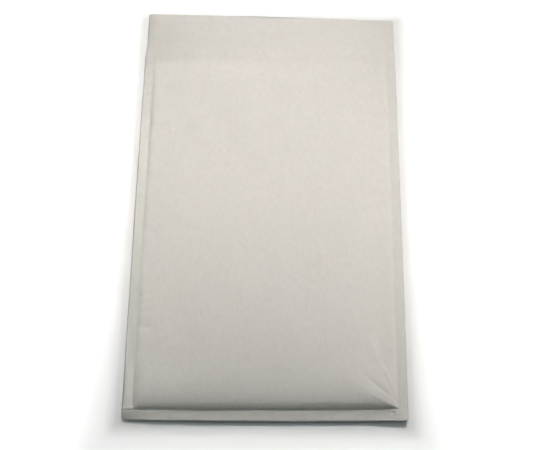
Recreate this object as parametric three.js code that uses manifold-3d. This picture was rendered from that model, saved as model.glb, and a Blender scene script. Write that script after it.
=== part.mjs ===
// A padded envelope for a compact disc, lying flat and empty with its flap open and its address side up.
// Two paper panels, each lined with bubble film, are pressed together along both sides and the bottom.
// The address panel runs on past the mouth as the flap, which carries a glue strip under a release strip.
// Millimetres, +Z up. X runs across the envelope, and Y from its sealed bottom towards its flap.

import * as THREE from "three";
import { mergeGeometries, mergeVertices } from "three/addons/utils/BufferGeometryUtils.js";
import Module from "manifold-3d";

const wasm = await Module();
wasm.setup();

// Outline, seen from above
const envelopeWidth = 190; // over both side seals
const pocketDepth = 272; // from the bottom edge to the mouth
const flapLength = 40; // from the mouth to the free edge
const sideSeal = 6.5; // pressed band down each side
const bottomSeal = 8; // pressed band along the bottom
const cornerRadius = 3.5; // at the two bottom corners
const linerSetback = 10; // bare paper between the bubble film and the mouth

// Thicknesses
const paperThickness = 0.2;
const bubbleHeight = 3; // the film over its bubbles
const pressedFilm = 0.15; // the film where a seal has crushed it
const glueLine = 0.1; // between one sheet and the next
const pocketGap = 4.8; // free height in the middle of the empty pocket

// How the envelope swells
const sealLift = 3.8; // underside of the seals above the floor
const shoulderRun = 6; // the steep first rise beside a seal
const addressCrownRun = 40; // from a seal to where the address side is level
const backCrownRun = 25; // from a seal to where the back lies on the floor
const addressShoulderShare = 0.55; // of the whole rise
const backShoulderShare = 0.75;
const mouthDrop = 1.8; // how far the address panel falls between the end of its film and the mouth
const flapDrop = 0.4; // from the mouth to the flap's free edge, in the middle
const flapDroop = 1.2; // how far the free edge's corners hang below its middle
const flapSettle = 18; // past the mouth, where the flap has lost the pocket's arch

// Closure
const glueWidth = 10;
const glueThickness = 0.15;
const releaseOverhang = 2; // release strip past the glue, towards both edges of the flap
const releaseThickness = 0.12;
const releaseToFreeEdge = 4;

// Net of lines that the panels bend along
const shoulderShares = [0.17, 0.4, 0.7, 1];
const crownShares = [0.3, 0.62, 1];
const levelRows = 4; // rows between the two crowns
const mouthRows = 3; // rows between the end of the film and the mouth
const flapRows = 4; // rows between the mouth and the release strip
const cornerFacets = 6;
const lineTolerance = 0.01;

// Sizes that follow
const halfWidth = envelopeWidth / 2;
const linerEnd = pocketDepth - linerSetback;
const totalLength = pocketDepth + flapLength;
const sealTop = sealLift + 2 * paperThickness + 2 * pressedFilm + 3 * glueLine;
const bodyHeight = 2 * (paperThickness + glueLine + bubbleHeight) + pocketGap;
const mouthHeight = bodyHeight - mouthDrop;
const freeEdgeHeight = mouthHeight - flapDrop;
const releaseHigh = totalLength - releaseToFreeEdge;
const glueHigh = releaseHigh - releaseOverhang;
const glueLow = glueHigh - glueWidth;
const releaseLow = glueLow - releaseOverhang;
const releaseHalfLength = halfWidth - sideSeal; // it ends in line with the side seals
const glueHalfLength = releaseHalfLength - shoulderRun;

// Share of the full swell at a distance from a seal: a quick shoulder, then a slow crown.
function swell(distance, crownRun, shoulderShare) {
  const shoulder = THREE.MathUtils.clamp(distance / shoulderRun, 0, 1);
  const crown = THREE.MathUtils.clamp(distance / crownRun, 0, 1);
  return shoulderShare * (1 - (1 - shoulder) ** 2) + (1 - shoulderShare) * (1 - (1 - crown) ** 3);
}

const fromSide = (x) => halfWidth - sideSeal - Math.abs(x);
const fromBottom = (y) => y - bottomSeal;

// Top of the address panel: swollen over the pocket, stepping down past the film to the mouth.
function pocketTop(x, y) {
  const across = swell(fromSide(x), addressCrownRun, addressShoulderShare);
  const along = swell(fromBottom(y), addressCrownRun, addressShoulderShare);
  const pastFilm = THREE.MathUtils.smoothstep(y, linerEnd, pocketDepth);
  const middle = THREE.MathUtils.lerp(bodyHeight, mouthHeight, pastFilm);
  return sealTop + (middle - sealTop) * across * along;
}

// The flap starts as arched as the mouth and soon flattens.
function flapTop(x, y) {
  const freeEdge = freeEdgeHeight - flapDroop * (x / halfWidth) ** 2;
  const settled = THREE.MathUtils.clamp((y - pocketDepth) / flapSettle, 0, 1);
  return THREE.MathUtils.lerp(pocketTop(x, pocketDepth), freeEdge, settled * (2 - settled));
}

const addressTop = (x, y) => (y > pocketDepth ? flapTop(x, y) : pocketTop(x, y));
const addressUnder = (x, y) => addressTop(x, y) - paperThickness;

// Underside of the back panel: flat on the floor inside the seals.
function backUnder(x, y) {
  const across = swell(fromSide(x), backCrownRun, backShoulderShare);
  const along = swell(fromBottom(y), backCrownRun, backShoulderShare);
  return sealLift * (1 - across * along);
}
const backTop = (x, y) => backUnder(x, y) + paperThickness;

// The film is crushed in the seals and reaches its full height at the foot of the shoulder.
function filmThickness(x, y) {
  const across = swell(fromSide(x), shoulderRun, 1);
  const along = swell(fromBottom(y), shoulderRun, 1);
  return pressedFilm + (bubbleHeight - pressedFilm) * across * along;
}

// Lines at which a panel bends beside a seal, counted inwards from its edge.
function seamLines(band) {
  const shoulders = shoulderShares.map((share) => band + share * shoulderRun);
  const crowns = crownShares.map((share) => band + shoulderRun + share * (addressCrownRun - shoulderRun));
  return [0, band, ...shoulders, ...crowns];
}

// Evenly spaced lines after one value, up to and including another.
function evenLines(from, to, rows) {
  return Array.from({ length: rows }, (_, row) => from + ((to - from) * (row + 1)) / rows);
}

const leftLines = seamLines(sideSeal).map((inset) => inset - halfWidth);
const acrossLines = [...leftLines, 0, ...leftLines.map((x) => -x).reverse()];
const bottomLines = seamLines(bottomSeal);
const filmLines = [...bottomLines, ...evenLines(bottomLines.at(-1), linerEnd, levelRows)];
const backLines = [...filmLines, ...evenLines(linerEnd, pocketDepth, mouthRows)];
const flapLines = [...evenLines(pocketDepth, releaseLow, flapRows), glueLow, glueHigh, releaseHigh, totalLength];

// A closed sheet on a net of lines, between two height functions. Every sheet has the same diagonals,
// so neighbours that share lines and heights stay parallel.
function sheet(across, along, topHeight, underHeight) {
  const columns = across.length - 1;
  const rows = along.length - 1;
  const face = (height) => {
    const plane = new THREE.PlaneGeometry(columns, rows, columns, rows);
    const points = plane.getAttribute("position");
    for (let i = 0; i < points.count; i += 1) {
      const x = across[Math.round(points.getX(i) + columns / 2)];
      const y = along[Math.round(points.getY(i) + rows / 2)];
      points.setXYZ(i, x, y, height(x, y));
    }
    return plane;
  };
  const top = face(topHeight);
  const under = face(underHeight);
  under.setIndex(Array.from(under.index.array).reverse());

  const rim = [
    ...across.slice(0, -1).map((x) => [x, along[0]]),
    ...along.slice(0, -1).map((y) => [across.at(-1), y]),
    ...across.slice(1).reverse().map((x) => [x, along.at(-1)]),
    ...along.slice(1).reverse().map((y) => [across[0], y]),
  ];
  const wall = new THREE.PlaneGeometry(rim.length, 1, rim.length, 1);
  const points = wall.getAttribute("position");
  for (let i = 0; i < points.count; i += 1) {
    const [x, y] = rim[Math.round(points.getX(i) + rim.length / 2) % rim.length];
    const height = points.getY(i) > 0 ? topHeight : underHeight;
    points.setXYZ(i, x, y, height(x, y));
  }
  return mergeGeometries([top, under, wall]);
}

// A closed geometry as a solid that can be cut.
function solidOf(geometry) {
  const bare = geometry.clone();
  bare.deleteAttribute("normal");
  bare.deleteAttribute("uv");
  const merged = mergeVertices(bare, 1e-4);
  return new wasm.Manifold(
    new wasm.Mesh({
      numProp: 3,
      vertProperties: merged.getAttribute("position").array,
      triVerts: new Uint32Array(merged.index.array),
    }),
  );
}

function geometryOf(solid) {
  const mesh = solid.getMesh();
  const geometry = new THREE.BufferGeometry();
  geometry.setAttribute("position", new THREE.BufferAttribute(mesh.vertProperties, 3));
  geometry.setIndex(new THREE.BufferAttribute(mesh.triVerts, 1));
  geometry.computeVertexNormals();
  return geometry;
}

// What the trimming die takes off the bottom corner on one side, right through the envelope.
function cornerOffcut(side) {
  const past = cornerRadius; // the die reaches this far outside the sheet
  const outline = new THREE.Shape();
  outline.moveTo(halfWidth - cornerRadius, -past);
  outline.lineTo(halfWidth - cornerRadius, 0);
  outline.absarc(halfWidth - cornerRadius, cornerRadius, cornerRadius, -Math.PI / 2, 0, false);
  outline.lineTo(halfWidth + past, cornerRadius);
  outline.lineTo(halfWidth + past, -past);
  outline.closePath();
  const height = 2 * bodyHeight;
  const offcut = new THREE.ExtrudeGeometry(outline, {
    depth: height,
    bevelEnabled: false,
    curveSegments: cornerFacets,
  });
  offcut.translate(0, 0, -height / 4);
  if (side < 0) offcut.rotateY(Math.PI).translate(0, 0, height / 2);
  return solidOf(offcut);
}

const offcuts = [cornerOffcut(1), cornerOffcut(-1)];

function trimmed(geometry) {
  return geometryOf(offcuts.reduce((solid, offcut) => solid.subtract(offcut), solidOf(geometry)));
}

const paper = new THREE.MeshStandardMaterial({ color: 0xd9d4ca, roughness: 0.72, metalness: 0 });
const bubbleFilm = new THREE.MeshStandardMaterial({ color: 0xe6ebee, roughness: 0.22, metalness: 0 });
const glue = new THREE.MeshStandardMaterial({ color: 0xe8e2c9, roughness: 0.35, metalness: 0 });
const releasePaper = new THREE.MeshStandardMaterial({ color: 0xf2f1ec, roughness: 0.3, metalness: 0 });

function addressPanel() {
  const lines = [...backLines, ...flapLines];
  return trimmed(sheet(acrossLines, lines, addressTop, addressUnder));
}

function backPanel() {
  return trimmed(sheet(acrossLines, backLines, backTop, backUnder));
}

function addressBubbleFilm() {
  const top = (x, y) => addressUnder(x, y) - glueLine;
  const under = (x, y) => top(x, y) - filmThickness(x, y);
  return trimmed(sheet(acrossLines, filmLines, top, under));
}

function backBubbleFilm() {
  const under = (x, y) => backTop(x, y) + glueLine;
  const top = (x, y) => under(x, y) + filmThickness(x, y);
  return trimmed(sheet(acrossLines, filmLines, top, under));
}

// A strip under the flap, on the flap's own lines, so that it lies parallel to it.
function flapStrip(low, high, halfLength, topDrop, thickness) {
  const across = acrossLines.filter((x) => Math.abs(x) < halfLength + lineTolerance);
  const along = flapLines.filter((y) => y > low - lineTolerance && y < high + lineTolerance);
  const top = (x, y) => addressUnder(x, y) - topDrop;
  const under = (x, y) => top(x, y) - thickness;
  return sheet(across, along, top, under);
}

function flapGlue() {
  return flapStrip(glueLow, glueHigh, glueHalfLength, glueLine, glueThickness);
}

function releaseStrip() {
  const drop = 2 * glueLine + glueThickness;
  return flapStrip(releaseLow, releaseHigh, releaseHalfLength, drop, releaseThickness);
}

const envelope = new THREE.Group();
const pieces = [
  ["address_panel", addressPanel(), paper],
  ["back_panel", backPanel(), paper],
  ["address_bubble_film", addressBubbleFilm(), bubbleFilm],
  ["back_bubble_film", backBubbleFilm(), bubbleFilm],
  ["flap_glue", flapGlue(), glue],
  ["release_strip", releaseStrip(), releasePaper],
];
for (const [name, geometry, material] of pieces) {
  const mesh = new THREE.Mesh(geometry, material);
  mesh.name = name;
  mesh.position.y = -totalLength / 2;
  envelope.add(mesh);
}

export default envelope;
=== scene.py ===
# A padded envelope for a compact disc, lying flat with its flap open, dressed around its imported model.
import math

import bpy
import numpy as np
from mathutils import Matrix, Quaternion, Vector


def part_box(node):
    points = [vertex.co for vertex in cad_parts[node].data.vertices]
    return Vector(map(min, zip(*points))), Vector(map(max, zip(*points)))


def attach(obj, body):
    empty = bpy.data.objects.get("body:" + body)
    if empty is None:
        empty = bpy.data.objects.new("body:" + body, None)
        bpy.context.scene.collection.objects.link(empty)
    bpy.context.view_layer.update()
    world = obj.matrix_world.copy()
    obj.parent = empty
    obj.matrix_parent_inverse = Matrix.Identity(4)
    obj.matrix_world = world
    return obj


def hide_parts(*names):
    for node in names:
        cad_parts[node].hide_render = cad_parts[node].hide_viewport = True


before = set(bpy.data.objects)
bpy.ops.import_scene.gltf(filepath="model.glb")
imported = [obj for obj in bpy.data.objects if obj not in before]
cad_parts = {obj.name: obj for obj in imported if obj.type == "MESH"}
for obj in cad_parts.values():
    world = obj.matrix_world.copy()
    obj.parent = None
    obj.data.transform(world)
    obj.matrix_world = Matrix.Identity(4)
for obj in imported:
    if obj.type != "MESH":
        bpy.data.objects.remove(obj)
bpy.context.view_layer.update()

mm = 0.001  # lengths below are in millimetres, and meshes are in metres

# The frame gives the overall sizes. s runs from the bottom edge (0) to the end of the flap, and x runs from
# the middle to the right.
panelLow, panelHigh = (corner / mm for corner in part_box("address_panel"))
backLow, backHigh = (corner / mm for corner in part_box("back_panel"))
filmLow, filmHigh = (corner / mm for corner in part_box("address_bubble_film"))
halfWidth = panelHigh.x
fullLength = panelHigh.y - panelLow.y
mouth = backHigh.y - backLow.y
filmEnd = filmHigh.y - filmLow.y
bodyTop = panelHigh.z

seals = {
    "sideWidth": 6.9,
    "bottomWidth": 7.0,
    "bottomTaper": 0.5,  # how much wider the bottom seal is at its right end than in the middle
    "cornerRadius": (4.6, 1.8),  # left, right
    "top": 4.1,  # of the address panel on the side seals
    "under": 3.1,  # of the back panel there
    "sideDroop": 0.1,  # outer edge below inner edge
    "bottomDroop": 1.9,
    "leftCurl": 0.65,  # how much more the bottom seal's left end bends down
    "rightLift": 1.3,
    "waviness": 0.1,  # of the pressed lines, in the plane of the sheet
    "waveReach": 5,  # how far from a pressed line the sheet bends with it
    "sideWaves": (48, 55),  # wavelengths of the left and right pressed lines
    "bottomWave": 44,
    "sideDroopEnds": (-5, 12),  # from here to there past the mouth, the side droop fades out
    "droopWave": 60,  # wavelength and share of the droop's unevenness
    "droopUneven": 0.5,
    "cornerRun": (2, 12),  # above the bottom edge, where the side droop comes in
    "leftCurlRun": 17,  # how far in from the corner it starts
    "rightLiftRun": 30,
    "tiltWave": 90,
    "tiltUneven": 0.06,
}

swelling = {  # (share of the rise, run from the seal, how early in the run it rises)
    "side": [(0.11, 6, 4), (0.31, 50, 3), (0.58, 88, 2)],
    "nearCorner": [(1.0, 13, 3)],  # the sides' rise close to the bottom seal, where the padding is boxy
    "bottom": [(0.165, 5, 2.8), (0.17, 13, 2.3), (0.475, 28, 2.1), (0.19, 85, 2.2)],
    "back": [(0.5, 5, 2), (0.5, 22, 2)],
}

pocket = {
    "boxyRun": 36,  # how far above the bottom seal the padding is boxy
    "filmFade": (-10, 2),  # from here past the film's end to there past the mouth, the crown comes down
    "foldRoom": 1.2,  # how far folds may stand above the body
}

flapShape = {
    "mouthHeight": 10.1,
    "freeEdge": 9.4,
    "lean": 2.5,  # left corner above the middle, right corner below it
    "droop": 0.6,
    "seamEnd": 4.5,  # how far the pressed side lines run on past the mouth
    "arch": 3.2,  # above 2 for a flatter middle across the mouth
    "droopKept": 0.4,  # share of the seals' droop that the flap still has
    "leanStart": -2,  # past the mouth
}

outline = {  # how far the cut edges are from a true rectangle
    "bottomSkew": 1.7,  # how much higher the right end of the bottom edge sits
    "bottomBow": 0.7,  # how much its middle hangs down
    "sideBow": 0.4,
    "flapInset": (1.6, 0.3),  # left and right of the flap, inside the body's sides
    "flapRadius": 2.0,
    "flapInsetRun": (3, 18),  # past the mouth
    "bottomRun": 90,  # how far up the skew and the bow reach
    "taperRun": 22,
}

softness = {
    "broad": 0.42,  # slow unevenness of the padding
    "broadWave": 85,
    "fine": 0.16,
    "fineWave": 26,
    "pucker": 0.09,  # short ripples beside the side seals
    "puckerWave": 13,
    "puckerReach": 5,
    "puckerStart": (4, 30),  # above the bottom seal
    "puckerEnd": 12,  # before the end of the film
    "edgeRun": 24,  # how far in from the seals the unevenness comes up
    "flapShare": 0.6,  # how much of it is gone on the flap
    "flapRun": 8,
}

seeds = {
    "broad": 3,
    "fine": 4,
    "droop": 11,
    "tilt": 12,
    "pucker": (21, 22),  # left, right
    "sideLines": (31, 32),
    "bottomLine": 33,
}

# Folds in the address panel: a path in (x, s), a height (below 0 for a valley), the widths to its left and
# right, how fast it comes in and fades out along its path, and how soft the two slopes end (1 for a sharp
# end, 2 where nothing is given).
folds = [
    {"path": [(88, 8.2), (70.4, 12.5), (57, 31)], "height": 0.86, "width": (14, 6), "fade": (0.02, 0.5),
     "ends": (2, 1)},
    {"path": [(88, 11.8), (71.8, 23.2), (60, 35)], "height": -0.42, "width": (1.7, 2.4), "fade": (0.05, 0.5)},
    {"path": [(88, 11), (81.5, 37), (70, 64)], "height": -0.7, "width": (7, 7), "fade": (0.05, 0.8)},
    {"path": [(88, 12), (84, 27), (75, 42)], "height": 0.8, "width": (2.6, 3.6), "fade": (0.05, 0.5)},
    {"path": [(77.5, 38), (73.5, 46), (69.5, 62)], "height": 0.75, "width": (6, 4.4), "fade": (0.3, 0.3),
     "ends": (2, 1)},
    {"path": [(-88, 62), (-82, 63), (-73, 61)], "height": -0.48, "width": (3.2, 3.2), "fade": (0.05, 0.6)},
    {"path": [(-88, 73), (-81, 74.5), (-71, 74)], "height": -0.56, "width": (3.4, 3.4), "fade": (0.05, 0.6)},
    {"path": [(-88, 86), (-80, 85), (-70, 88)], "height": -0.4, "width": (3, 3), "fade": (0.05, 0.6)},
    {"path": [(-95, 44), (-92, 44.2), (-88.2, 44.6)], "height": -0.22, "width": (1, 1), "fade": (0, 0)},
    {"path": [(-95, 8.2), (-92, 8.1), (-87.8, 8.3)], "height": 0.26, "width": (2, 1.4), "fade": (0, 0)},
    {"path": [(-95, 6.3), (-92, 6.3), (-87.8, 6.6)], "height": -0.36, "width": (1.1, 1.2), "fade": (0, 0)},
    {"path": [(-88, 7.1), (-80, 7.0), (-58, 7.2)], "height": -1.05, "width": (1.5, 1.3), "fade": (0.05, 0.8),
     "ends": (1, 1)},
    {"path": [(88.4, 7.1), (84, 7.3), (74, 7.4)], "height": -0.62, "width": (1.2, 1.5), "fade": (0.05, 0.8),
     "ends": (1, 1)},
    {"path": [(88.2, 3.2), (86.5, 5.6), (84, 7.2)], "height": 0.42, "width": (1.3, 1.3), "fade": (0.1, 0.2)},
    {"path": [(91.5, 7.4), (89.5, 5), (88.2, 3.2)], "height": 0.36, "width": (1.3, 1.3), "fade": (0.1, 0.2)},
    {"path": [(80, 1.6), (82, 3.2), (84.5, 4.0)], "height": 0.25, "width": (1.2, 1.2), "fade": (0.2, 0.3)},
]

foldRun = {
    "margin": 0.01,  # a fold without a fade still fades over this share of its path
    "pathEnd": 1.001,  # just past it
    "narrow": 0.4,  # width at the edge of a fold that fades out slowly, as a share of its full width
    "widened": 0.4,  # how far along such a fold has its full width
}


# Heights

def riseFrom(distance, steps):
    # from 0 at a seal to 1 at full swell, in the given steps
    total = np.zeros_like(distance)
    for share, run, power in steps:
        total += share * (1 - (1 - np.clip(distance / run, 0, 1)) ** power)
    return total


def smoothStep(value, low, high):
    t = np.clip((value - low) / (high - low), 0, 1)
    return t * t * (3 - 2 * t)


lengthSpread = {"over": (0.7, 1.5), "along": (0.6, 1.7)}  # of single waves, as shares of the wavelength


def waves(x, s, wavelength, seed, count=7):
    # soft random unevenness over the sheet
    dice = np.random.default_rng(seed)
    total = np.zeros(np.broadcast(x, s).shape)
    for _ in range(count):
        angle = dice.uniform(0, 2 * math.pi)
        length = wavelength * dice.uniform(*lengthSpread["over"])
        phase = dice.uniform(0, 2 * math.pi)
        total += np.sin(2 * math.pi * (x * math.cos(angle) + s * math.sin(angle)) / length + phase)
    return total / math.sqrt(count)


def alongWaves(t, wavelength, seed, count=5):
    # the same along one line
    dice = np.random.default_rng(seed)
    total = np.zeros_like(t)
    for _ in range(count):
        length = wavelength * dice.uniform(*lengthSpread["along"])
        total += np.sin(2 * math.pi * t / length + dice.uniform(0, 2 * math.pi))
    return total / math.sqrt(count)


def nearestOn(path, x, s, steps=24):
    # distance to a curved path, how far along it that is (0 to 1), and whether it is on the path's right
    a, b, c = (np.array(point, float) for point in path)
    points = [(1 - t) ** 2 * a + 2 * t * (1 - t) * b + t * t * c for t in np.linspace(0, 1, steps + 1)]
    distance = np.full(x.shape, 1e9)
    along, onRight = np.zeros_like(x), np.zeros(x.shape, bool)
    for number, (start, end) in enumerate(zip(points, points[1:])):
        step = end - start
        share = np.clip(((x - start[0]) * step[0] + (s - start[1]) * step[1]) / (step @ step), 0, 1)
        awayX, awayS = x - start[0] - share * step[0], s - start[1] - share * step[1]
        away = np.hypot(awayX, awayS)
        closer = away < distance
        distance = np.where(closer, away, distance)
        along = np.where(closer, (number + share) / steps, along)
        onRight = np.where(closer, awayX * step[1] > awayS * step[0], onRight)
    return distance, along, onRight


def foldHeights(x, s):
    total = np.zeros_like(x)
    margin, narrow = foldRun["margin"], foldRun["narrow"]
    for fold in folds:
        distance, along, onRight = nearestOn(fold["path"], x, s)
        fadeIn, fadeOut = fold["fade"]
        coming = smoothStep(along, -margin, max(fadeIn, margin))
        strength = coming * (1 - smoothStep(along, 1 - margin - fadeOut, foldRun["pathEnd"]))
        spreading = 1.0
        if fadeIn < fadeOut:  # narrow at the edge and wider as it runs inwards
            spreading = narrow + (1 - narrow) * smoothStep(along, 0, foldRun["widened"])
        leftWidth, rightWidth = fold["width"]
        leftEnd, rightEnd = fold.get("ends", (2, 2))
        slope = np.clip(1 - distance / (np.where(onRight, rightWidth, leftWidth) * spreading), 0, 1)
        total += fold["height"] * strength * slope ** np.where(onRight, rightEnd, leftEnd)
    return total


def fromSide(x):
    return halfWidth - seals["sideWidth"] - np.abs(x)


def fromBottom(s):
    return s - seals["bottomWidth"]


def sealDrop(x, s):
    # how far the seals hang below their usual height: outer edges droop, and the bottom seal tilts down
    outwards = np.clip(-fromSide(x) / seals["sideWidth"], 0, 1)
    fadeStart, fadeEnd = seals["sideDroopEnds"]
    beforeMouth = 1 - smoothStep(s, mouth + fadeStart, mouth + fadeEnd)
    uneven = 1 + seals["droopUneven"] * alongWaves(s, seals["droopWave"], seeds["droop"])
    side = seals["sideDroop"] * outwards * uneven * beforeMouth
    down = np.clip(-fromBottom(s) / seals["bottomWidth"], 0, 1)
    leftEnd = smoothStep(-x, halfWidth - seals["leftCurlRun"], halfWidth)
    rightEnd = smoothStep(x, halfWidth - seals["rightLiftRun"], halfWidth)
    tilt = seals["bottomDroop"] + seals["leftCurl"] * leftEnd - seals["rightLift"] * rightEnd
    tilt = tilt + seals["tiltUneven"] * alongWaves(x, seals["tiltWave"], seeds["tilt"])
    return side * smoothStep(s, *seals["cornerRun"]) + tilt * down


def pocketTop(x, s):
    across = riseFrom(fromSide(x), swelling["side"])
    along = riseFrom(fromBottom(s), swelling["bottom"])
    boxy = 1 - smoothStep(s, seals["bottomWidth"], seals["bottomWidth"] + pocket["boxyRun"])
    across = across + (riseFrom(fromSide(x), swelling["nearCorner"]) - across) * boxy
    fadeStart, fadeEnd = pocket["filmFade"]
    pastFilm = smoothStep(s, filmEnd + fadeStart, mouth + fadeEnd)
    middle = bodyTop + (flapShape["mouthHeight"] - bodyTop) * pastFilm
    return seals["top"] - sealDrop(x, s) + (middle - seals["top"]) * across * along


def addressTop(x, s):
    top = pocketTop(x, np.minimum(s, mouth))
    # the flap loses the pressed side lines, then leans over to its free edge
    side = x / halfWidth
    soft = seals["top"] + (flapShape["mouthHeight"] - seals["top"]) * (1 - np.abs(side) ** flapShape["arch"])
    soft = soft - sealDrop(x, np.full_like(s, mouth)) * flapShape["droopKept"]
    edge = flapShape["freeEdge"] - flapShape["lean"] * side - flapShape["droop"] * side ** 2
    seamGone = smoothStep(s, mouth, mouth + 2 * flapShape["seamEnd"])
    lean = smoothStep(s, mouth + flapShape["leanStart"], fullLength)
    flap = (top * (1 - seamGone) + soft * seamGone) * (1 - lean) + edge * lean
    top = np.where(s > mouth, flap, top)

    run = softness["edgeRun"]
    inside = np.clip(fromSide(x) / run, 0, 1) * np.clip(fromBottom(s) / run, 0, 1)
    inside = inside * (1 - softness["flapShare"] * smoothStep(s, filmEnd, mouth + softness["flapRun"]))
    top = top + inside * softness["broad"] * waves(x, s, softness["broadWave"], seeds["broad"])
    top = top + inside * softness["fine"] * waves(x, s, softness["fineWave"], seeds["fine"], count=12)
    beside = np.clip(fromSide(x), 0, None) / softness["puckerReach"]
    besideSeal = beside * np.exp(1 - beside) * smoothStep(fromBottom(s), *softness["puckerStart"])
    besideSeal = besideSeal * (1 - smoothStep(s, filmEnd - softness["puckerEnd"], filmEnd))
    left, right = (alongWaves(s, softness["puckerWave"], seed) for seed in seeds["pucker"])
    top = top + softness["pucker"] * besideSeal * np.where(x < 0, left, right)
    return np.minimum(top + foldHeights(x, s), bodyTop + pocket["foldRoom"])


def backUnder(x, s):
    across = riseFrom(fromSide(x), swelling["back"])
    along = riseFrom(fromBottom(s), swelling["back"])
    rest = np.clip(1 - across * along, 0, 1)
    return (seals["under"] - sealDrop(x, s)) * rest


# Meshes

meshSteps = {  # (distance from a seal's inner edge, step between the lines out to there)
    "across": [(30, 1.7), (9, 0.9), (2.6, 0.6), (0, 0.37)],
    "along": [(3.6, 0.36), (13, 0.7), (34, 0.95)],
    "sideSeal": 1.05,
    "corner": 0.5,
    "body": (14, 1.8),  # to this far before the end of the film
    "filmEnd": 1.0,
    "pastMouth": (10, 0.9),
    "flap": 1.8,
    "flapEnd": 0.4,
    "coarserFilm": 1.5,
}


def spacedLines(stops):
    # lines at the first stop, then with each stop's own step up to that stop
    lines = [stops[0]]
    for end, step in stops[1:]:
        count = max(1, round((end - lines[-1]) / step))
        lines.extend(np.linspace(lines[-1], end, count + 1)[1:].tolist())
    return np.array(lines)


def acrossLines(coarser=1.0):
    crease = fromSide(np.array(0.0))
    stops = [(crease - inside, step * coarser) for inside, step in meshSteps["across"]]
    half = spacedLines([0, *stops, (halfWidth, meshSteps["sideSeal"] * coarser)])
    return np.concatenate([-half[:0:-1], half])


def alongLines(end, coarser=1.0):
    beforeEnd, bodyStep = meshSteps["body"]
    pastMouth, mouthStep = meshSteps["pastMouth"]
    stops = [(max(seals["cornerRadius"]), meshSteps["corner"])]
    stops += [(seals["bottomWidth"] + inside, step) for inside, step in meshSteps["along"]]
    stops += [(filmEnd - beforeEnd, bodyStep), (min(end, mouth), meshSteps["filmEnd"])]
    if end > mouth:
        stops += [(mouth + pastMouth, mouthStep), (end - outline["flapRadius"], meshSteps["flap"])]
        stops += [(end, meshSteps["flapEnd"])]
    return spacedLines([0] + [(stop, step * coarser) for stop, step in stops])


def roundedBy(radius, fromEnd):
    # how far a round corner draws the side in
    short = np.maximum(radius - fromEnd, 0)
    return radius - np.sqrt(radius ** 2 - short ** 2)


def planPlaces(x, s):
    # bends the pressed lines a little, rounds the corners and draws the outline slightly out of square
    wave, reach = seals["waviness"], seals["waveReach"]
    fromEdge = np.clip((halfWidth - np.abs(x)) / seals["sideWidth"], 0, 1)
    fromEnd = np.clip(s / seals["bottomWidth"], 0, 1)
    nearBottom = np.exp(-((fromBottom(s) / reach) ** 2)) * fromEnd
    nearSide = np.exp(-((fromSide(x) / reach) ** 2)) * fromEdge
    side = x / halfWidth
    along = s / fullLength
    flapStart, flapEnd = (mouth + past for past in outline["flapInsetRun"])
    inset = roundedBy(np.where(x < 0, *seals["cornerRadius"]), s)
    inset = inset + roundedBy(outline["flapRadius"], fullLength - s)
    inset = inset + np.where(x < 0, *outline["flapInset"]) * smoothStep(s, flapStart, flapEnd)
    inset = inset + outline["sideBow"] * (2 * along - 1) ** 2
    lines = zip(seals["sideWaves"], seeds["sideLines"])
    left, right = (alongWaves(s, wavelength, seed) for wavelength, seed in lines)
    upwards = outline["bottomSkew"] * (1 + side) / 2 - outline["bottomBow"] * (1 - side ** 2)
    upwards = upwards * (1 - smoothStep(s, 0, outline["bottomRun"]))
    aboveSeal = np.clip(fromBottom(s), 0, None) / outline["taperRun"]
    upwards = upwards + seals["bottomTaper"] * side * np.exp(-(aboveSeal ** 2)) * fromEnd
    planX = (x + wave * nearSide * np.where(x < 0, left, right)) * (1 - inset / halfWidth)
    return planX, s + upwards + wave * nearBottom * alongWaves(x, seals["bottomWave"], seeds["bottomLine"])


pressedEdge = (-0.5, 0.4)  # how softly a pressed band ends
wornPerHeight = 1.4  # how much a fold's height wears the paper


def closedSheet(name, across, along, top, under, marks=True):
    # a closed thin sheet between two height functions of (x, s), with its rim in flat faces. Its marks tell
    # the paper where it is pressed and where it is folded.
    x, s = np.meshgrid(across, along)
    planX, planS = planPlaces(x, s)
    y = planS + panelLow.y
    layers = [np.stack([planX, y, height(x, s)], -1).reshape(-1, 3) for height in (top, under)]
    rows, columns = x.shape
    index = np.arange(rows * columns).reshape(rows, columns)
    quads = np.stack([index[:-1, :-1], index[:-1, 1:], index[1:, 1:], index[1:, :-1]], -1).reshape(-1, 4)
    rim = np.concatenate([index[0, :-1], index[:-1, -1], index[-1, :0:-1], index[:0:-1, 0]])
    onward = np.roll(rim, -1)
    base = rows * columns
    walls = np.stack([rim, rim + base, onward + base, onward], -1)
    faces = np.concatenate([quads, quads[:, ::-1] + base, walls])
    mesh = bpy.data.meshes.new(name)
    mesh.from_pydata((np.concatenate(layers) * mm).tolist(), [], faces.tolist())
    smooth = np.ones(len(faces), bool)
    smooth[2 * len(quads):] = False
    mesh.polygons.foreach_set("use_smooth", smooth)
    if marks:
        pressed = 1 - smoothStep(np.minimum(fromSide(x), fromBottom(s)), *pressedEdge)
        pressed = pressed * (1 - smoothStep(s, mouth, mouth + flapShape["seamEnd"]))
        folded = np.clip(np.abs(foldHeights(x, s)) * wornPerHeight, 0, 1)
        for label, values in (("pressed", pressed), ("folded", folded)):
            layer = mesh.attributes.new(label, "FLOAT", "POINT")
            layer.data.foreach_set("value", np.tile(values.reshape(-1), 2).astype(np.float32))
    mesh.validate()
    piece = bpy.data.objects.new(name, mesh)
    bpy.context.scene.collection.objects.link(piece)
    return piece


def finished(piece, slot, *nodes):
    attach(piece, "root")
    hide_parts(*nodes)
    return piece


# Shader groups and materials

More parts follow.
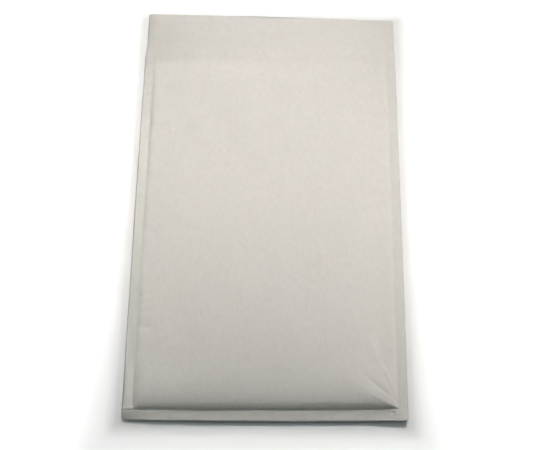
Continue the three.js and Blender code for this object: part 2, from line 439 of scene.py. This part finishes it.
def newGroup(name, inputs, outputs):
    tree = bpy.data.node_groups.new(name, "ShaderNodeTree")
    for label, kind, value in inputs:
        socket = tree.interface.new_socket(label, in_out="INPUT", socket_type=kind)
        socket.default_value = value
    for label, kind in outputs:
        tree.interface.new_socket(label, in_out="OUTPUT", socket_type=kind)
    return tree, tree.nodes.new("NodeGroupInput"), tree.nodes.new("NodeGroupOutput")


def addNode(tree, kind, **settings):
    node = tree.nodes.new(kind)
    for key, value in settings.items():
        setattr(node, key, value)
    return node


def addMath(tree, operation, first, second=0.0):
    node = tree.nodes.new("ShaderNodeMath")
    node.operation = operation
    for slotIndex, value in enumerate((first, second)):
        if isinstance(value, (int, float)):
            node.inputs[slotIndex].default_value = value
        else:
            tree.links.new(value, node.inputs[slotIndex])
    return node.outputs[0]


def plus(tree, first, second):
    return addMath(tree, "ADD", first, second)


def minus(tree, first, second):
    return addMath(tree, "SUBTRACT", first, second)


def times(tree, first, second):
    return addMath(tree, "MULTIPLY", first, second)


def addNoise(tree, vector, scale, detail, roughness):
    node = addNode(tree, "ShaderNodeTexNoise")
    node.inputs["Detail"].default_value = detail
    node.inputs["Roughness"].default_value = roughness
    tree.links.new(vector, node.inputs["Vector"])
    if isinstance(scale, (int, float)):
        node.inputs["Scale"].default_value = scale
    else:
        tree.links.new(scale, node.inputs["Scale"])
    return node.outputs["Fac"]


def addMix(tree, factor, first, second, blend="MIX"):
    node = addNode(tree, "ShaderNodeMix", data_type="RGBA", blend_type=blend)
    for slotIndex, value in ((0, factor), (6, first), (7, second)):
        if hasattr(value, "is_linked"):
            tree.links.new(value, node.inputs[slotIndex])
        else:
            node.inputs[slotIndex].default_value = value
    return node.outputs[2]


finishOutputs = [
    ("Colour", "NodeSocketColor"),
    ("Roughness", "NodeSocketFloat"),
    ("Height", "NodeSocketFloat"),
]

paperPattern = {
    "stretch": (1.0, 0.34, 1.0),  # of the fibres
    "turn": 0.35,
    "fibres": {"detail": 4.0, "roughness": 0.7},
    "clouds": {"scale": 46.0, "detail": 4.0, "roughness": 0.62},
    "specks": {"scale": 260.0, "detail": 3.0, "roughness": 0.6},
    "cloudStart": 0.36,
    "cloudContrast": 2.2,
    "speckShare": 0.6,  # of the fibres' strength
    "speckRoughness": 0.18,
    "toothShares": (0.6, 0.4),  # fibres, clouds
}


def paperGroup():
    # uncoated paper: clouded pulp, fine fibres and a little tooth
    tree, start, end = newGroup(
        "paperFinish",
        [("Paper", "NodeSocketColor", (0.7, 0.68, 0.64, 1)),
         ("Cloud Colour", "NodeSocketColor", (0.6, 0.6, 0.58, 1)),
         ("Clouding", "NodeSocketFloat", 0.3), ("Fibre Scale", "NodeSocketFloat", 700.0),
         ("Fibres", "NodeSocketFloat", 0.1), ("Tooth", "NodeSocketFloat", 0.4),
         ("Base Roughness", "NodeSocketFloat", 0.7)],
        finishOutputs,
    )
    links, pattern, size = tree.links, paperPattern, start.outputs
    place = addNode(tree, "ShaderNodeTexCoord").outputs["Object"]
    stretch = addNode(tree, "ShaderNodeMapping")
    stretch.inputs["Scale"].default_value = pattern["stretch"]
    stretch.inputs["Rotation"].default_value = (0, 0, pattern["turn"])
    links.new(place, stretch.inputs["Vector"])
    clouds = addNoise(tree, place, **pattern["clouds"])
    specks = addNoise(tree, place, **pattern["specks"])
    fibres = addNoise(tree, stretch.outputs["Vector"], size["Fibre Scale"], **pattern["fibres"])
    cloudMask = times(tree, minus(tree, clouds, pattern["cloudStart"]), pattern["cloudContrast"])
    clouded = addMix(tree, times(tree, cloudMask, size["Clouding"]), size["Paper"], size["Cloud Colour"])
    fibreShade = plus(tree, 1.0, times(tree, minus(tree, fibres, 0.5), size["Fibres"]))
    speckStrength = times(tree, size["Fibres"], pattern["speckShare"])
    speckShade = plus(tree, fibreShade, times(tree, minus(tree, specks, 0.5), speckStrength))
    toned = addNode(tree, "ShaderNodeVectorMath", operation="SCALE")
    links.new(clouded, toned.inputs[0])
    links.new(speckShade, toned.inputs["Scale"])
    links.new(toned.outputs[0], end.inputs["Colour"])
    unevenness = times(tree, minus(tree, specks, 0.5), pattern["speckRoughness"])
    links.new(plus(tree, size["Base Roughness"], unevenness), end.inputs["Roughness"])
    fibreShare, cloudShare = pattern["toothShares"]
    tooth = plus(tree, times(tree, fibres, fibreShare), times(tree, clouds, cloudShare))
    links.new(times(tree, tooth, size["Tooth"]), end.inputs["Height"])
    return tree


pressPattern = {
    "blotches": {"scale": 120.0, "detail": 3.0, "roughness": 0.6},
    "mask": (0.7, 0.6),  # what a pressed band always has, and what the blotches add
    # painted shade: the darker, cooler tint of the pressed bands, standing in for the seals' lower light
    "paintedShadeTint": (0.922, 0.938, 0.925, 1),
    "worn": (0.86, 0.85, 0.82, 1),
    "smoother": 0.12,
    "flatter": 0.4,
}


def pressShadeAndWearGroup():
    # what heat and folding do to a sheet: pressed bands turn smoother and get painted shade, a darker and
    # cooler tint for the seals' lower light, and folds get a worn line
    tree, start, end = newGroup(
        "pressShadeAndWear",
        [("Colour", "NodeSocketColor", (0.7, 0.7, 0.7, 1)), ("Roughness", "NodeSocketFloat", 0.7),
         ("Height", "NodeSocketFloat", 0.0), ("Band Shade", "NodeSocketFloat", 0.95),
         ("Wear", "NodeSocketFloat", 0.1)],
        finishOutputs,
    )
    links, pattern = tree.links, pressPattern
    pressed = addNode(tree, "ShaderNodeAttribute", attribute_name="pressed").outputs["Fac"]
    folded = addNode(tree, "ShaderNodeAttribute", attribute_name="folded").outputs["Fac"]
    place = addNode(tree, "ShaderNodeTexCoord").outputs["Object"]
    blotches = addNoise(tree, place, **pattern["blotches"])
    always, blotched = pattern["mask"]
    bandMask = times(tree, pressed, plus(tree, always, times(tree, blotches, blotched)))
    # painted shade on the pressed bands
    paintedBandShade = addMix(tree, bandMask, (1, 1, 1, 1), pattern["paintedShadeTint"])
    toned = addMix(tree, start.outputs["Band Shade"], start.outputs["Colour"], paintedBandShade, "MULTIPLY")
    worn = addMix(tree, times(tree, folded, start.outputs["Wear"]), toned, pattern["worn"])
    links.new(worn, end.inputs["Colour"])
    smoother = minus(tree, start.outputs["Roughness"], times(tree, bandMask, pattern["smoother"]))
    links.new(smoother, end.inputs["Roughness"])
    flatter = times(tree, start.outputs["Height"], minus(tree, 1.0, times(tree, pressed, pattern["flatter"])))
    links.new(flatter, end.inputs["Height"])
    return tree


groups = {"paper": paperGroup(), "press": pressShadeAndWearGroup()}


def newMaterial(name):
    material = bpy.data.materials.new(name)
    material.use_nodes = True
    tree = material.node_tree
    return material, tree, tree.nodes["Principled BSDF"]


def useGroup(tree, group, **values):
    node = tree.nodes.new("ShaderNodeGroup")
    node.node_tree = group
    for label, value in values.items():
        node.inputs[label.replace("_", " ")].default_value = value
    return node


def usePaper(tree, look):
    return useGroup(tree, groups["paper"], Paper=look["paper"], Cloud_Colour=look["cloud"],
                    Clouding=look["clouding"], Fibre_Scale=look["fibreScale"], Fibres=look["fibres"],
                    Tooth=look["tooth"], Base_Roughness=look["roughness"])


def addBump(tree, shader, height, strength, distance):
    bump = tree.nodes.new("ShaderNodeBump")
    bump.inputs["Strength"].default_value = strength
    bump.inputs["Distance"].default_value = distance
    tree.links.new(height, bump.inputs["Height"])
    tree.links.new(bump.outputs["Normal"], shader.inputs["Normal"])


envelopePaperLook = {
    "paper": (0.72, 0.692, 0.648, 1),
    "cloud": (0.702, 0.686, 0.649, 1),
    "clouding": 0.5,
    "fibreScale": 800.0,
    "fibres": 0.18,
    "tooth": 0.6,
    "roughness": 0.66,
    # how much painted shade the pressed bands get
    "bandPaintedShade": 0.95,
    "wear": 0.16,
    "bump": (0.42, 0.00025),  # strength, distance in metres
    "specular": 0.35,
}


def envelopePaper():
    look = envelopePaperLook
    material, tree, shader = newMaterial("envelopePaper")
    paper = usePaper(tree, look)
    press = useGroup(tree, groups["press"], Band_Shade=look["bandPaintedShade"], Wear=look["wear"])
    for label in ("Colour", "Roughness", "Height"):
        tree.links.new(paper.outputs[label], press.inputs[label])
    tree.links.new(press.outputs["Colour"], shader.inputs["Base Color"])
    tree.links.new(press.outputs["Roughness"], shader.inputs["Roughness"])
    addBump(tree, shader, press.outputs["Height"], *look["bump"])
    shader.inputs["Specular IOR Level"].default_value = look["specular"]
    return material


bubbleFilmLook = {
    "colour": (0.84, 0.88, 0.9, 1),
    "milky": (0.93, 0.95, 0.96, 1),
    "alpha": 0.42,
    "roughness": 0.16,
    "hazeRoughness": 0.14,
    "haze": {"scale": 75.0, "detail": 4.0, "roughness": 0.6},
    "wrinkles": {"scale": 190.0, "detail": 5.0, "roughness": 0.68},
    "bump": (0.35, 0.0004),
    "specular": 0.6,
}


def bubbleFilmMaterial():
    look = bubbleFilmLook
    material, tree, shader = newMaterial("bubbleFilm")
    place = addNode(tree, "ShaderNodeTexCoord").outputs["Object"]
    haze = addNoise(tree, place, **look["haze"])
    wrinkles = addNoise(tree, place, **look["wrinkles"])
    tree.links.new(addMix(tree, haze, look["colour"], look["milky"]), shader.inputs["Base Color"])
    rough = plus(tree, look["roughness"], times(tree, haze, look["hazeRoughness"]))
    tree.links.new(rough, shader.inputs["Roughness"])
    addBump(tree, shader, wrinkles, *look["bump"])
    shader.inputs["Alpha"].default_value = look["alpha"]
    shader.inputs["Specular IOR Level"].default_value = look["specular"]
    return material


glueLook = {
    "colour": (0.8, 0.74, 0.56, 1),
    "thin": (0.86, 0.83, 0.72, 1),
    "roughness": 0.2,
    "streakRoughness": 0.2,
    "streaks": {"scale": 900.0, "detail": 3.0, "roughness": 0.6},
    "stretch": (0.12, 1.0, 1.0),
    "bump": (0.4, 0.0002),
    "coat": 0.3,
}


def glueMaterial():
    look = glueLook
    material, tree, shader = newMaterial("flapAdhesive")
    place = addNode(tree, "ShaderNodeTexCoord").outputs["Object"]
    stretch = addNode(tree, "ShaderNodeMapping")
    stretch.inputs["Scale"].default_value = look["stretch"]
    tree.links.new(place, stretch.inputs["Vector"])
    streaks = addNoise(tree, stretch.outputs["Vector"], **look["streaks"])
    tree.links.new(addMix(tree, streaks, look["colour"], look["thin"]), shader.inputs["Base Color"])
    rough = plus(tree, look["roughness"], times(tree, streaks, look["streakRoughness"]))
    tree.links.new(rough, shader.inputs["Roughness"])
    addBump(tree, shader, streaks, *look["bump"])
    shader.inputs["Coat Weight"].default_value = look["coat"]
    return material


releaseLook = {
    "paper": (0.8, 0.77, 0.69, 1),
    "cloud": (0.76, 0.75, 0.68, 1),
    "clouding": 0.5,
    "fibreScale": 1100.0,
    "fibres": 0.05,
    "tooth": 0.25,
    "roughness": 0.34,
    "bump": (0.2, 0.0002),
    "coat": 0.35,
    "coatRoughness": 0.18,
}


def releaseMaterial():
    look = releaseLook
    material, tree, shader = newMaterial("releasePaper")
    paper = usePaper(tree, look)
    tree.links.new(paper.outputs["Colour"], shader.inputs["Base Color"])
    tree.links.new(paper.outputs["Roughness"], shader.inputs["Roughness"])
    addBump(tree, shader, paper.outputs["Height"], *look["bump"])
    shader.inputs["Coat Weight"].default_value = look["coat"]
    shader.inputs["Coat Roughness"].default_value = look["coatRoughness"]
    return material


# Paper panels

sheets = {
    "paper": 0.2,
    "gap": 0.06,  # between paper and film
    "filmBase": 0.12,
    "pressedFilm": 0.15,
    "pressedRun": 2,  # how far in from the seals the film gets its free thickness
}

paperMaterial = envelopePaper()


def addressPanel():
    piece = closedSheet("addressPanel", acrossLines(), alongLines(fullLength), addressTop,
                        lambda x, s: addressTop(x, s) - sheets["paper"])
    piece.data.materials.append(paperMaterial)
    return finished(piece, "envelope_paper", "address_panel")


def backPanel():
    piece = closedSheet("backPanel", acrossLines(), alongLines(mouth),
                        lambda x, s: backUnder(x, s) + sheets["paper"], backUnder)
    piece.data.materials.append(paperMaterial)
    return finished(piece, "envelope_paper", "back_panel")


addressPanel()
backPanel()
print("panels made")


# Bubble films

bubbles = {
    "diameter": 9.5,
    "pitch": 10.6,
    "height": 2.75,
    "margin": 1.5,  # clear film between a seal and the first bubbles
    "endMargin": 1.0,  # at the end of the film
    "squareness": 0.62,  # below 1 for steeper walls and a flatter crown
    "segments": 14,
    "rings": 8,
    "rayLength": 10,  # metres, well past the sheet
}


def bubbleTree(material):
    # rows of bubbles in a honeycomb on the modifier's own sheet, found by casting rays at it
    tree = bpy.data.node_groups.new("bubbleRows", "GeometryNodeTree")
    face = tree.interface
    face.new_socket("Sheet", in_out="INPUT", socket_type="NodeSocketGeometry")
    values = (("Diameter", 0.0095), ("Pitch", 0.0106), ("Height", 0.0028), ("Facing", 1.0),
              ("Squareness", 0.6), ("Field Width", 0.17), ("Field Length", 0.25), ("Field Middle", 0.0))
    for label, value in values:
        face.new_socket(label, in_out="INPUT", socket_type="NodeSocketFloat").default_value = value
    face.new_socket("Bubbled Sheet", in_out="OUTPUT", socket_type="NodeSocketGeometry")
    nodes, links = tree.nodes, tree.links
    start, end = nodes.new("NodeGroupInput"), nodes.new("NodeGroupOutput")
    size = start.outputs

    # the field of points
    rowPitch = times(tree, size["Pitch"], math.sqrt(3) / 2)
    pitchesAcross = addMath(tree, "DIVIDE", size["Field Width"], size["Pitch"])
    pitchesAlong = addMath(tree, "DIVIDE", size["Field Length"], rowPitch)
    columns = plus(tree, addMath(tree, "FLOOR", pitchesAcross), 1)
    rows = plus(tree, addMath(tree, "FLOOR", pitchesAlong), 1)
    field = nodes.new("GeometryNodeMeshGrid")
    links.new(times(tree, minus(tree, columns, 1), size["Pitch"]), field.inputs["Size X"])
    links.new(times(tree, minus(tree, rows, 1), rowPitch), field.inputs["Size Y"])
    links.new(columns, field.inputs["Vertices X"])
    links.new(rows, field.inputs["Vertices Y"])
    index = nodes.new("GeometryNodeInputIndex").outputs[0]
    odd = addMath(tree, "MODULO", addMath(tree, "MODULO", index, rows), 2)
    slide = times(tree, minus(tree, odd, 0.5), times(tree, size["Pitch"], 0.5))
    offset = nodes.new("ShaderNodeCombineXYZ")
    links.new(slide, offset.inputs["X"])
    links.new(size["Field Middle"], offset.inputs["Y"])
    shifted = nodes.new("GeometryNodeSetPosition")
    links.new(field.outputs["Mesh"], shifted.inputs["Geometry"])
    links.new(offset.outputs[0], shifted.inputs["Offset"])

    # the sheet's height below or above a point
    place = nodes.new("GeometryNodeInputPosition").outputs[0]
    apart = nodes.new("ShaderNodeSeparateXYZ")
    links.new(place, apart.inputs[0])
    origin = nodes.new("ShaderNodeCombineXYZ")
    links.new(apart.outputs["X"], origin.inputs["X"])
    links.new(apart.outputs["Y"], origin.inputs["Y"])
    links.new(size["Facing"], origin.inputs["Z"])
    ray = nodes.new("ShaderNodeCombineXYZ")
    links.new(times(tree, size["Facing"], -1), ray.inputs["Z"])
    cast = nodes.new("GeometryNodeRaycast")
    links.new(size["Sheet"], cast.inputs["Target Geometry"])
    links.new(origin.outputs[0], cast.inputs["Source Position"])
    links.new(ray.outputs[0], cast.inputs["Ray Direction"])
    cast.inputs["Ray Length"].default_value = bubbles["rayLength"]
    found = nodes.new("ShaderNodeSeparateXYZ")
    links.new(cast.outputs["Hit Position"], found.inputs[0])

    # one bubble: a ball with its lower half pressed flat and its crown squared off
    ball = nodes.new("GeometryNodeMeshUVSphere")
    ball.inputs["Segments"].default_value = bubbles["segments"]
    ball.inputs["Rings"].default_value = bubbles["rings"]
    ball.inputs["Radius"].default_value = 1
    ballPlace = nodes.new("GeometryNodeInputPosition").outputs[0]
    parts = nodes.new("ShaderNodeSeparateXYZ")
    links.new(ballPlace, parts.inputs[0])
    raised = addMath(tree, "POWER", addMath(tree, "MAXIMUM", parts.outputs["Z"], 0.0), size["Squareness"])
    # its foot sits in the middle of the film
    sunk = minus(tree, times(tree, raised, size["Height"]), sheets["filmBase"] * 0.5 * mm)
    radius = times(tree, size["Diameter"], 0.5)
    lying = nodes.new("ShaderNodeCombineXYZ")
    links.new(times(tree, parts.outputs["X"], radius), lying.inputs["X"])
    links.new(times(tree, parts.outputs["Y"], radius), lying.inputs["Y"])
    noted = nodes.new("GeometryNodeStoreNamedAttribute")
    noted.inputs["Name"].default_value = "lift"
    links.new(ball.outputs["Mesh"], noted.inputs["Geometry"])
    links.new(sunk, noted.inputs["Value"])
    shaped = nodes.new("GeometryNodeSetPosition")
    links.new(noted.outputs[0], shaped.inputs["Geometry"])
    links.new(lying.outputs[0], shaped.inputs["Position"])

    # all of them, each vertex lifted from the sheet where it stands
    spread = nodes.new("GeometryNodeInstanceOnPoints")
    links.new(shifted.outputs[0], spread.inputs["Points"])
    links.new(shaped.outputs[0], spread.inputs["Instance"])
    real = nodes.new("GeometryNodeRealizeInstances")
    links.new(spread.outputs[0], real.inputs[0])
    lift = nodes.new("GeometryNodeInputNamedAttribute")
    lift.inputs["Name"].default_value = "lift"
    lifted = plus(tree, found.outputs["Z"], times(tree, lift.outputs["Attribute"], size["Facing"]))
    standing = nodes.new("ShaderNodeCombineXYZ")
    links.new(apart.outputs["X"], standing.inputs["X"])
    links.new(apart.outputs["Y"], standing.inputs["Y"])
    links.new(lifted, standing.inputs["Z"])
    seated = nodes.new("GeometryNodeSetPosition")
    links.new(real.outputs[0], seated.inputs["Geometry"])
    links.new(standing.outputs[0], seated.inputs["Position"])
    turned = nodes.new("GeometryNodeFlipFaces")
    links.new(seated.outputs[0], turned.inputs["Mesh"])
    facesDown = addMath(tree, "LESS_THAN", size["Facing"], 0)
    links.new(facesDown, turned.inputs["Selection"])
    cleared = nodes.new("GeometryNodeRemoveAttribute")
    cleared.inputs["Name"].default_value = "lift"
    links.new(turned.outputs[0], cleared.inputs["Geometry"])
    smooth = nodes.new("GeometryNodeSetShadeSmooth")
    links.new(cleared.outputs[0], smooth.inputs[0])
    together = nodes.new("GeometryNodeJoinGeometry")
    links.new(smooth.outputs[0], together.inputs[0])
    links.new(size["Sheet"], together.inputs[0])
    coloured = nodes.new("GeometryNodeSetMaterial")
    coloured.inputs["Material"].default_value = material
    links.new(together.outputs[0], coloured.inputs[0])
    links.new(coloured.outputs[0], end.inputs[0])
    return tree


def bubbleFilm(name, node, top, under, facing, tree):
    coarser = meshSteps["coarserFilm"]
    sheet = closedSheet(name + "Sheet", acrossLines(coarser), alongLines(filmEnd, coarser), top, under,
                        marks=False)
    modifier = sheet.modifiers.new("bubbles", "NODES")
    modifier.node_group = tree
    sideRoom = seals["sideWidth"] + bubbles["margin"] + bubbles["diameter"] / 2 + bubbles["pitch"] / 4
    low = seals["bottomWidth"] + bubbles["margin"] + bubbles["diameter"] / 2
    high = filmEnd - bubbles["endMargin"] - bubbles["diameter"] / 2
    settings = {
        "Diameter": bubbles["diameter"] * mm,
        "Pitch": bubbles["pitch"] * mm,
        "Height": bubbles["height"] * mm,
        "Facing": facing,
        "Squareness": bubbles["squareness"],
        "Field Width": 2 * (halfWidth - sideRoom) * mm,
        "Field Length": (high - low) * mm,
        "Field Middle": ((high + low) / 2 + panelLow.y) * mm,
    }
    for item in tree.interface.items_tree:
        if item.in_out == "INPUT" and item.name in settings:
            modifier[item.identifier] = settings[item.name]
    bpy.context.view_layer.update()
    made = bpy.data.meshes.new_from_object(sheet.evaluated_get(bpy.context.evaluated_depsgraph_get()))
    piece = bpy.data.objects.new(name, made)
    bpy.context.scene.collection.objects.link(piece)
    bpy.data.objects.remove(sheet)
    return finished(piece, "bubble_film", node)


def filmThickness(x, s):
    run = sheets["pressedRun"]
    free = np.clip(fromSide(x) / run, 0, 1) * np.clip(fromBottom(s) / run, 0, 1)
    return sheets["pressedFilm"] + (sheets["filmBase"] - sheets["pressedFilm"]) * free


def addressFilmTop(x, s):
    return addressTop(x, s) - sheets["paper"] - sheets["gap"]


def backFilmUnder(x, s):
    return backUnder(x, s) + sheets["paper"] + sheets["gap"]


filmTree = bubbleTree(bubbleFilmMaterial())
bubbleFilm("addressBubbleFilm", "address_bubble_film", addressFilmTop,
           lambda x, s: addressFilmTop(x, s) - filmThickness(x, s), -1.0, filmTree)
bubbleFilm("backBubbleFilm", "back_bubble_film",
           lambda x, s: backFilmUnder(x, s) + filmThickness(x, s), backFilmUnder, 1.0, filmTree)
print("bubble films made")


# Closure under the flap

glueLow, glueHigh = (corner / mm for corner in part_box("flap_glue"))
releaseLow, releaseHigh = (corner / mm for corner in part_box("release_strip"))

closure = {
    "glueDrop": 0.07,
    "glueThickness": 0.15,
    "releaseGap": 0.06,
    "releaseThickness": 0.12,
    "tabBend": 0.9,
    "tabLength": 12,
    "columns": 90,
    "rows": 12,
}


def stripLines(low, high):
    across = np.linspace(low.x, high.x, closure["columns"])
    along = np.linspace(low.y, high.y, closure["rows"]) - panelLow.y
    return across, along


def flapGlue():
    across, along = stripLines(glueLow, glueHigh)

    def top(x, s):
        return addressTop(x, s) - sheets["paper"] - closure["glueDrop"]

    def under(x, s):
        return top(x, s) - closure["glueThickness"]

    piece = closedSheet("flapGlue", across, along, top, under, marks=False)
    piece.data.materials.append(glueMaterial())
    return finished(piece, "flap_adhesive", "flap_glue")


def releaseStrip():
    across, along = stripLines(releaseLow, releaseHigh)
    drop = closure["glueDrop"] + closure["glueThickness"] + closure["releaseGap"]

    def top(x, s):
        # its right end is bent down a little, for fingers to take hold of
        bend = np.clip((x - releaseHigh.x + closure["tabLength"]) / closure["tabLength"], 0, 1) ** 2
        return addressTop(x, s) - sheets["paper"] - drop - closure["tabBend"] * bend

    def under(x, s):
        return top(x, s) - closure["releaseThickness"]

    piece = closedSheet("releaseStrip", across, along, top, under, marks=False)
    piece.data.materials.append(releaseMaterial())
    return finished(piece, "release_paper", "release_strip")


flapGlue()
releaseStrip()
print("closure made")


# Floor, light and camera

floorLook = {
    "reach": 6.0,
    "colour": (0.93, 0.93, 0.93, 1),
    "roughness": 0.9,
    "near": (0.002, 0.014, 0.35),  # from, to (metres from the envelope) and how much the floor is lifted
    "far": (0.008, 0.065, 0.65),
}


def floorLift(tree, start, end, amount):
    # white that comes in with the distance from the envelope's outline
    apart = tree.nodes.new("ShaderNodeSeparateXYZ")
    tree.links.new(tree.nodes.new("ShaderNodeTexCoord").outputs["Object"], apart.inputs[0])
    past = [minus(tree, addMath(tree, "ABSOLUTE", apart.outputs[axis]), half * mm)
            for axis, half in (("X", halfWidth), ("Y", fullLength / 2))]
    fade = addNode(tree, "ShaderNodeMapRange", interpolation_type="SMOOTHSTEP")
    tree.links.new(addMath(tree, "MAXIMUM", *past), fade.inputs["Value"])
    for label, value in (("From Min", start), ("From Max", end), ("To Min", 0.0), ("To Max", amount)):
        fade.inputs[label].default_value = value
    return fade.outputs["Result"]


def makeFloor():
    reach = floorLook["reach"]
    mesh = bpy.data.meshes.new("floor")
    corners = [(-reach, -reach, 0), (reach, -reach, 0), (reach, reach, 0), (-reach, reach, 0)]
    mesh.from_pydata(corners, [], [(0, 1, 2, 3)])
    floor = bpy.data.objects.new("floor", mesh)
    bpy.context.scene.collection.objects.link(floor)
    material, tree, shader = newMaterial("whiteFloor")
    shader.inputs["Base Color"].default_value = floorLook["colour"]
    shader.inputs["Roughness"].default_value = floorLook["roughness"]
    shader.inputs["Specular IOR Level"].default_value = 0.0
    shader.inputs["Emission Color"].default_value = (1, 1, 1, 1)
    lift = plus(tree, floorLift(tree, *floorLook["near"]), floorLift(tree, *floorLook["far"]))
    path = tree.nodes.new("ShaderNodeLightPath")
    tree.links.new(times(tree, path.outputs["Is Camera Ray"], lift), shader.inputs["Emission Strength"])
    mesh.materials.append(material)


studio = {
    "key": {"place": (0.28, 1.844, 1.606), "aim": (-0.015, 0.041, 0.0), "roll": 1.5, "size": (0.8, 0.265),
            "power": 0.79, "colour": (1.0, 0.937, 0.9), "spread": 7},
    "fill": {"place": (-0.3, 0.5, 1.3), "aim": (0.0, 0.1, 0.0), "roll": 0, "size": (1.2, 1.2),
             "power": 3.7, "colour": (0.88, 0.985, 1.0), "spread": 180},
    "ambient": 0.09,
    "ambientColour": (0.9, 1.0, 0.99, 1),
}


def makeLamp(name, settings):
    light = bpy.data.lights.new(name, "AREA")
    light.shape = "RECTANGLE"
    light.size, light.size_y = settings["size"]
    light.energy = settings["power"]
    light.color = settings["colour"]
    light.spread = math.radians(settings["spread"])
    lamp = bpy.data.objects.new(name, light)
    lamp.location = settings["place"]
    aim = Vector(settings["aim"]) - Vector(settings["place"])
    roll = Quaternion((0, 0, 1), math.radians(settings["roll"]))
    lamp.rotation_euler = (aim.to_track_quat("-Z", "Y") @ roll).to_euler()
    bpy.context.scene.collection.objects.link(lamp)


def makeWorld():
    world = bpy.data.worlds.new("studioWorld")
    bpy.context.scene.world = world
    world.use_nodes = True
    tree = world.node_tree
    backdrop = tree.nodes["Background"]
    path = tree.nodes.new("ShaderNodeLightPath")
    seen = addMath(tree, "MAXIMUM", path.outputs["Is Camera Ray"], path.outputs["Is Glossy Ray"])
    seen = addMath(tree, "MAXIMUM", seen, path.outputs["Is Transmission Ray"])
    strength = plus(tree, studio["ambient"], times(tree, seen, 1 - studio["ambient"]))
    tree.links.new(strength, backdrop.inputs["Strength"])
    tree.links.new(addMix(tree, seen, studio["ambientColour"], (1, 1, 1, 1)), backdrop.inputs["Color"])


cameraView = {
    "target": (0.0016, -0.016, 0.005),
    "elevation": 66.64,
    "roll": 0.78,
    "distance": 0.7653,
    "lens": 72.05,
    "sensor": 36,
    "clipStart": 0.01,
}


def makeCamera():
    elevation = math.radians(cameraView["elevation"])
    looking = Vector((0, math.cos(elevation), -math.sin(elevation)))
    data = bpy.data.cameras.new("camera")
    data.lens = cameraView["lens"]
    data.sensor_width = cameraView["sensor"]
    data.sensor_fit = "HORIZONTAL"
    data.clip_start = cameraView["clipStart"]
    camera = bpy.data.objects.new("camera", data)
    camera.location = Vector(cameraView["target"]) - looking * cameraView["distance"]
    camera.rotation_mode = "QUATERNION"
    roll = Quaternion((0, 0, 1), math.radians(cameraView["roll"]))
    camera.rotation_quaternion = looking.to_track_quat("-Z", "Y") @ roll
    bpy.context.scene.collection.objects.link(camera)
    bpy.context.scene.camera = camera


makeFloor()
makeLamp("keyLamp", studio["key"])
makeLamp("fillLamp", studio["fill"])
makeWorld()
makeCamera()
bpy.context.scene.view_settings.view_transform = "Standard"
print("stage made")
